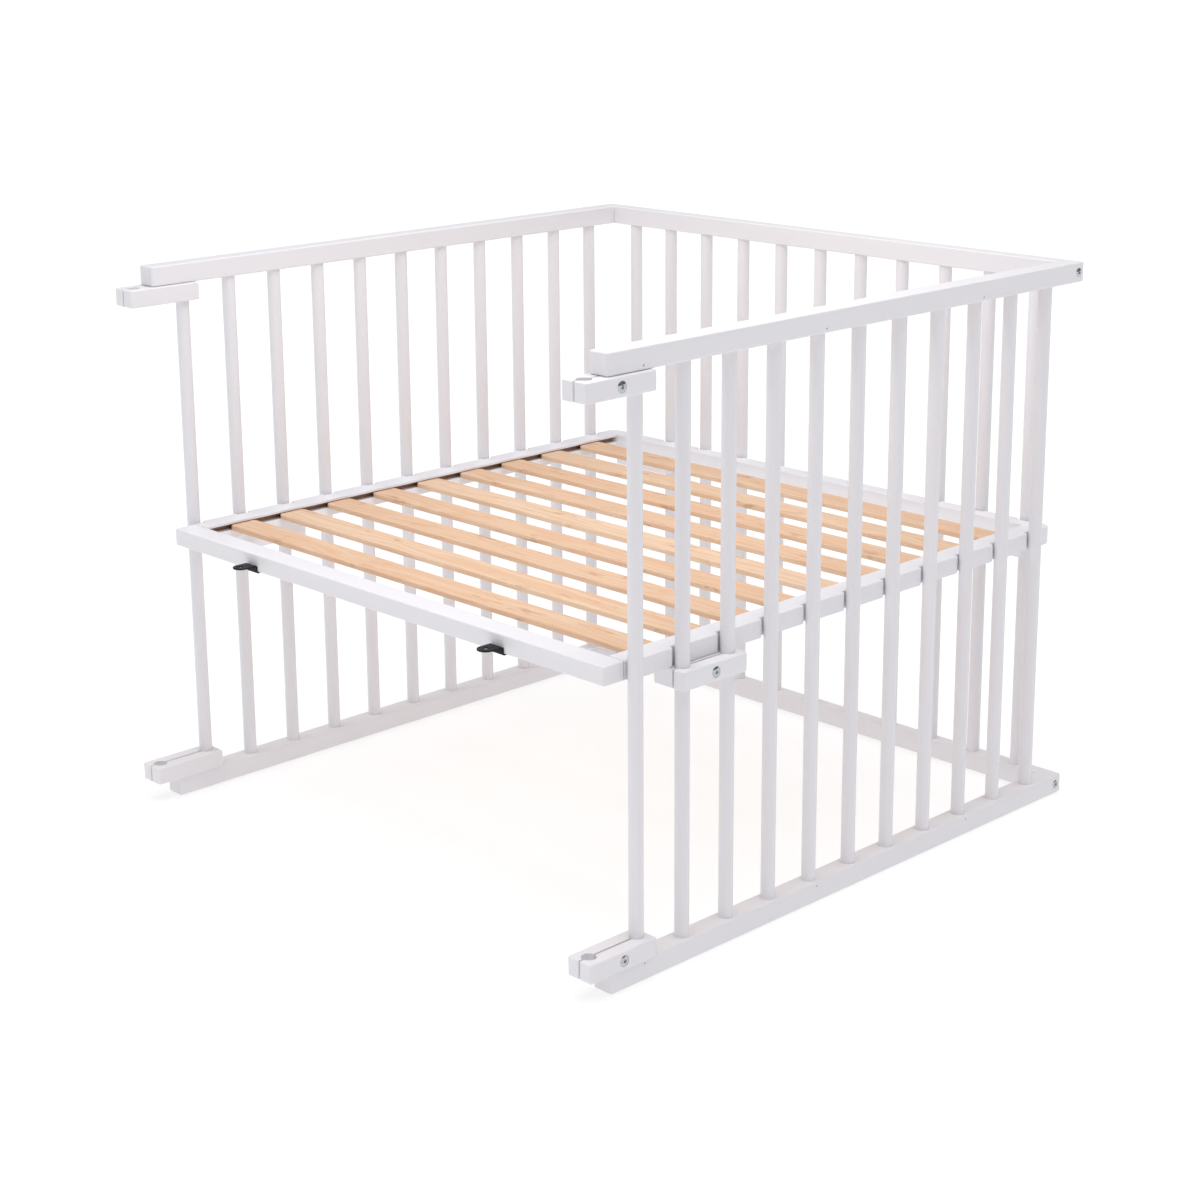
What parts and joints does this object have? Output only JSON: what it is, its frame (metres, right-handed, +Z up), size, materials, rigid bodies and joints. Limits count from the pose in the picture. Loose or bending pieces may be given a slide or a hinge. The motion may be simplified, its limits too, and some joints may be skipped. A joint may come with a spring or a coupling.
{
  "type": "playpen",
  "caption": "Three-sided white wooden playpen of round spindles, with an open front, a height-adjustable slatted base carried by bolted clamps, and clamps ready for a front panel.",
  "frame": {"origin": "on the floor, in the middle of the outer box", "axes": "+Z up, -Y towards the open front, +X to the right as seen from the front"},
  "size_m": [0.983, 1.009, 0.816],
  "materials": {
    "white_lacquer": "satin white lacquer on beech",
    "natural_wood": "bare planed alder, sanded",
    "dowel_wood": "bare turned beech",
    "plated_steel": "bright plated",
    "black_steel": "black satin coat",
    "glide_plastic": "moulded"
  },
  "bodies": {
    "panels": {"left_bottom_rail": "white_lacquer", "left_top_rail": "white_lacquer", "right_bottom_rail": "white_lacquer", "right_top_rail": "white_lacquer", "back_bottom_rail": "white_lacquer", "back_top_rail": "white_lacquer", "left_spindles": "white_lacquer", "right_spindles": "white_lacquer", "back_spindles": "white_lacquer", "left_front_spindle": "white_lacquer", "right_front_spindle": "white_lacquer", "corner_bolts": "plated_steel", "barrel_nuts": "plated_steel", "corner_pins": "dowel_wood", "spindle_nails": "plated_steel", "glides": "glide_plastic"},
    "base": {"base_front_rail": "white_lacquer", "base_back_rail": "white_lacquer", "base_left_rail": "white_lacquer", "base_right_rail": "white_lacquer", "slat_1": "natural_wood", "slat_2": "natural_wood", "slat_3": "natural_wood", "slat_4": "natural_wood", "slat_5": "natural_wood", "slat_6": "natural_wood", "slat_7": "natural_wood", "slat_8": "natural_wood", "slat_9": "natural_wood", "base_dowels": "dowel_wood", "left_bed_bracket": "black_steel", "right_bed_bracket": "black_steel", "bracket_screws": "black_steel", "left_bearer_inner": "white_lacquer", "left_bearer_outer": "white_lacquer", "right_bearer_inner": "white_lacquer", "right_bearer_outer": "white_lacquer", "back_left_bearer_inner": "white_lacquer", "back_left_bearer_outer": "white_lacquer", "back_right_bearer_inner": "white_lacquer", "back_right_bearer_outer": "white_lacquer", "bearer_bolts": "plated_steel", "bearer_nuts": "plated_steel"},
    "left_top_clamp": {"left_top_clamp_inner": "white_lacquer", "left_top_clamp_outer": "white_lacquer", "left_top_clamp_bolt": "plated_steel", "left_top_clamp_nut": "plated_steel"},
    "left_bottom_clamp": {"left_bottom_clamp_inner": "white_lacquer", "left_bottom_clamp_outer": "white_lacquer", "left_bottom_clamp_bolt": "plated_steel", "left_bottom_clamp_nut": "plated_steel"},
    "right_top_clamp": {"right_top_clamp_inner": "white_lacquer", "right_top_clamp_outer": "white_lacquer", "right_top_clamp_bolt": "plated_steel", "right_top_clamp_nut": "plated_steel"},
    "right_bottom_clamp": {"right_bottom_clamp_inner": "white_lacquer", "right_bottom_clamp_outer": "white_lacquer", "right_bottom_clamp_bolt": "plated_steel", "right_bottom_clamp_nut": "plated_steel"}
  },
  "joints": [
    {"name": "base_height", "type": "slide", "parent": "panels", "child": "base", "axis": [0, 0, 1], "range_m": [-0.338, 0.335]},
    {"name": "left_top_clamp_swing", "type": "hinge", "parent": "panels", "child": "left_top_clamp", "pos_m": [-0.4695, -0.4046, 0.7737], "axis": [0, 0, 1], "range_deg": [-90, 90]},
    {"name": "left_bottom_clamp_swing", "type": "hinge", "parent": "panels", "child": "left_bottom_clamp", "pos_m": [-0.4695, -0.4046, 0.0443], "axis": [0, 0, 1], "range_deg": [-90, 90]},
    {"name": "right_top_clamp_swing", "type": "hinge", "parent": "panels", "child": "right_top_clamp", "pos_m": [0.4695, -0.4046, 0.7737], "axis": [0, 0, 1], "range_deg": [-90, 90]},
    {"name": "right_bottom_clamp_swing", "type": "hinge", "parent": "panels", "child": "right_bottom_clamp", "pos_m": [0.4695, -0.4046, 0.0443], "axis": [0, 0, 1], "range_deg": [-90, 90]}
  ]
}
